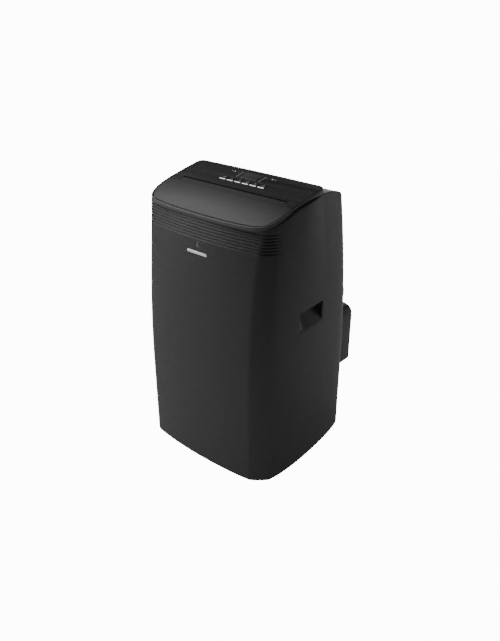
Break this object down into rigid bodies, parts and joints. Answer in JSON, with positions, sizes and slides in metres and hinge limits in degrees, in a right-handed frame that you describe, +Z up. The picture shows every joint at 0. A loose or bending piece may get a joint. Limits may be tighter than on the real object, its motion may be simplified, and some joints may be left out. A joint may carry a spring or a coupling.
{
  "type": "portable air conditioner",
  "caption": "Free-standing portable air conditioner on casters, with a motor-driven top air flap, a key panel, rear intake grilles and a rear hose adapter.",
  "frame": {"origin": "on the floor, under the middle of the whole part's box, hose adapter included", "axes": "+X to the right of someone facing the front, +Y to the back, where the hose leaves, +Z up"},
  "size_m": [0.4408, 0.475, 0.7595],
  "materials": {
    "housing_plastic": "satin grey moulded plastic",
    "flap_plastic": "satin light grey moulded plastic",
    "trim_plastic": "satin grey moulded plastic",
    "panel_plastic": "dark semi-gloss plastic",
    "key_plastic": "dark semi-gloss key caps",
    "display": "smoked clear plastic",
    "badge": "bright plated",
    "rear_plastic": "fine textured dark plastic",
    "filter_net": "nylon netting",
    "inner_black": "black moulded plastic",
    "inner_white": "white moulded plastic and foam",
    "circuit_board": "green laminate",
    "galvanised": "galvanised sheet",
    "coil_fins": "bare fins",
    "copper_tube": "drawn copper tube",
    "compressor_paint": "black enamel",
    "rubber": "matt black rubber",
    "caster_plastic": "dark moulded nylon",
    "caster_tread": "hard rubber tread"
  },
  "bodies": {
    "cabinet": {"front_housing": "housing_plastic", "left_handle": "housing_plastic", "right_handle": "housing_plastic", "top_cover": "trim_plastic", "control_panel": "panel_plastic", "display_window": "display", "receiver_window": "display", "front_badge": "badge", "rear_housing": "rear_plastic", "exhaust_collar": "rear_plastic", "upper_cord_hook": "rear_plastic", "lower_cord_hook": "rear_plastic", "base_tray": "inner_black", "outlet_duct": "inner_black", "condenser_scroll": "inner_black", "condensate_pump": "inner_black", "evaporator_scroll": "inner_white", "partition_deck": "inner_white", "drip_tray": "inner_white", "flap_motor": "inner_white", "key_board": "circuit_board", "evaporator_motor": "galvanised", "condenser_motor": "galvanised", "electronics_box": "galvanised", "evaporator_coil": "coil_fins", "condenser_coil": "coil_fins", "suction_pipe": "copper_tube", "discharge_pipe": "copper_tube", "compressor": "compressor_paint", "cord_gland": "rubber"},
    "air_flap": {"air_flap": "flap_plastic"},
    "vane_link": {"vane_link": "inner_black"},
    "guide_vane_1": {"guide_vane_1": "inner_black"},
    "guide_vane_2": {"guide_vane_2": "inner_black"},
    "guide_vane_3": {"guide_vane_3": "inner_black"},
    "guide_vane_4": {"guide_vane_4": "inner_black"},
    "guide_vane_5": {"guide_vane_5": "inner_black"},
    "key_1": {"key_1": "key_plastic"},
    "key_2": {"key_2": "key_plastic"},
    "key_3": {"key_3": "key_plastic"},
    "key_4": {"key_4": "key_plastic"},
    "key_5": {"key_5": "key_plastic"},
    "key_6": {"key_6": "key_plastic"},
    "cold_fan": {"evaporator_wheel": "inner_black"},
    "hot_fan": {"condenser_wheel": "inner_black"},
    "upper_intake": {"upper_grille": "rear_plastic", "upper_filter": "filter_net"},
    "lower_intake": {"lower_grille": "rear_plastic", "lower_filter": "filter_net"},
    "hose_adapter": {"hose_adapter": "trim_plastic"},
    "upper_drain_plug": {"upper_drain_plug": "rubber"},
    "lower_drain_plug": {"lower_drain_plug": "rubber"},
    "caster_fork_1": {"caster_fork_1": "caster_plastic"},
    "caster_fork_2": {"caster_fork_2": "caster_plastic"},
    "caster_fork_3": {"caster_fork_3": "caster_plastic"},
    "caster_fork_4": {"caster_fork_4": "caster_plastic"},
    "caster_wheel_1": {"caster_wheel_1": "caster_tread"},
    "caster_wheel_2": {"caster_wheel_2": "caster_tread"},
    "caster_wheel_3": {"caster_wheel_3": "caster_tread"},
    "caster_wheel_4": {"caster_wheel_4": "caster_tread"}
  },
  "joints": [
    {"name": "flap_hinge", "type": "hinge", "parent": "cabinet", "child": "air_flap", "pos_m": [0, -0.09, 0.73403], "axis": [-1, 0, 0], "range_deg": [0, 70]},
    {"name": "vane_1_turn", "type": "hinge", "parent": "cabinet", "child": "guide_vane_1", "pos_m": [-0.116, -0.1465, 0.686], "axis": [0, 0, 1], "range_deg": [-25, 25]},
    {"name": "vane_2_turn", "type": "hinge", "parent": "cabinet", "child": "guide_vane_2", "pos_m": [-0.058, -0.1465, 0.686], "axis": [0, 0, 1], "range_deg": [-25, 25]},
    {"name": "vane_3_turn", "type": "hinge", "parent": "cabinet", "child": "guide_vane_3", "pos_m": [0, -0.1465, 0.686], "axis": [0, 0, 1], "range_deg": [-25, 25]},
    {"name": "vane_4_turn", "type": "hinge", "parent": "cabinet", "child": "guide_vane_4", "pos_m": [0.058, -0.1465, 0.686], "axis": [0, 0, 1], "range_deg": [-25, 25]},
    {"name": "vane_5_turn", "type": "hinge", "parent": "cabinet", "child": "guide_vane_5", "pos_m": [0.116, -0.1465, 0.686], "axis": [0, 0, 1], "range_deg": [-25, 25]},
    {"name": "vane_link_slide", "type": "slide", "parent": "cabinet", "child": "vane_link", "axis": [1, 0, 0], "range_m": [-0.0087, 0.0087]},
    {"name": "key_1_press", "type": "slide", "parent": "cabinet", "child": "key_1", "axis": [0, 0.2027, -0.9792], "range_m": [0, 0.0012], "stiffness_N_per_m": 400, "springref_m": -0.001},
    {"name": "key_2_press", "type": "slide", "parent": "cabinet", "child": "key_2", "axis": [0, 0.2027, -0.9792], "range_m": [0, 0.0012], "stiffness_N_per_m": 400, "springref_m": -0.001},
    {"name": "key_3_press", "type": "slide", "parent": "cabinet", "child": "key_3", "axis": [0, 0.2027, -0.9792], "range_m": [0, 0.0012], "stiffness_N_per_m": 400, "springref_m": -0.001},
    {"name": "key_4_press", "type": "slide", "parent": "cabinet", "child": "key_4", "axis": [0, 0.2027, -0.9792], "range_m": [0, 0.0012], "stiffness_N_per_m": 400, "springref_m": -0.001},
    {"name": "key_5_press", "type": "slide", "parent": "cabinet", "child": "key_5", "axis": [0, 0.2027, -0.9792], "range_m": [0, 0.0012], "stiffness_N_per_m": 400, "springref_m": -0.001},
    {"name": "key_6_press", "type": "slide", "parent": "cabinet", "child": "key_6", "axis": [0, 0.2027, -0.9792], "range_m": [0, 0.0012], "stiffness_N_per_m": 400, "springref_m": -0.001},
    {"name": "cold_fan_spin", "type": "hinge", "parent": "cabinet", "child": "cold_fan", "pos_m": [-0.04, -0.1285, 0.53], "axis": [0, 1, 0], "continuous": true},
    {"name": "hot_fan_spin", "type": "hinge", "parent": "cabinet", "child": "hot_fan", "pos_m": [0.076, -0.0025, 0.217], "axis": [1, 0, 0], "continuous": true},
    {"name": "upper_intake_pull", "type": "slide", "parent": "cabinet", "child": "upper_intake", "axis": [0, 1, 0], "range_m": [0, 0.06]},
    {"name": "lower_intake_pull", "type": "slide", "parent": "cabinet", "child": "lower_intake", "axis": [0, 1, 0], "range_m": [0, 0.06]},
    {"name": "hose_adapter_pull", "type": "slide", "parent": "cabinet", "child": "hose_adapter", "axis": [0, 1, 0], "range_m": [0, 0.05]},
    {"name": "upper_drain_pull", "type": "slide", "parent": "cabinet", "child": "upper_drain_plug", "axis": [0, 1, 0], "range_m": [0, 0.025]},
    {"name": "lower_drain_pull", "type": "slide", "parent": "cabinet", "child": "lower_drain_plug", "axis": [0, 1, 0], "range_m": [0, 0.025]},
    {"name": "caster_1_swivel", "type": "hinge", "parent": "cabinet", "child": "caster_fork_1", "pos_m": [-0.15, -0.1705, 0.056], "axis": [0, 0, 1], "continuous": true},
    {"name": "caster_1_roll", "type": "hinge", "parent": "caster_fork_1", "child": "caster_wheel_1", "pos_m": [-0.15, -0.1575, 0.018], "axis": [1, 0, 0], "continuous": true},
    {"name": "caster_2_swivel", "type": "hinge", "parent": "cabinet", "child": "caster_fork_2", "pos_m": [0.15, -0.1705, 0.056], "axis": [0, 0, 1], "continuous": true},
    {"name": "caster_2_roll", "type": "hinge", "parent": "caster_fork_2", "child": "caster_wheel_2", "pos_m": [0.15, -0.1575, 0.018], "axis": [1, 0, 0], "continuous": true},
    {"name": "caster_3_swivel", "type": "hinge", "parent": "cabinet", "child": "caster_fork_3", "pos_m": [-0.15, 0.0955, 0.056], "axis": [0, 0, 1], "continuous": true},
    {"name": "caster_3_roll", "type": "hinge", "parent": "caster_fork_3", "child": "caster_wheel_3", "pos_m": [-0.15, 0.1085, 0.018], "axis": [1, 0, 0], "continuous": true},
    {"name": "caster_4_swivel", "type": "hinge", "parent": "cabinet", "child": "caster_fork_4", "pos_m": [0.15, 0.0955, 0.056], "axis": [0, 0, 1], "continuous": true},
    {"name": "caster_4_roll", "type": "hinge", "parent": "caster_fork_4", "child": "caster_wheel_4", "pos_m": [0.15, 0.1085, 0.018], "axis": [1, 0, 0], "continuous": true}
  ],
  "couplings": [
    {"joint": "vane_1_turn", "follows": "vane_link_slide", "rad_per_m": -50},
    {"joint": "vane_2_turn", "follows": "vane_link_slide", "rad_per_m": -50},
    {"joint": "vane_3_turn", "follows": "vane_link_slide", "rad_per_m": -50},
    {"joint": "vane_4_turn", "follows": "vane_link_slide", "rad_per_m": -50},
    {"joint": "vane_5_turn", "follows": "vane_link_slide", "rad_per_m": -50}
  ]
}
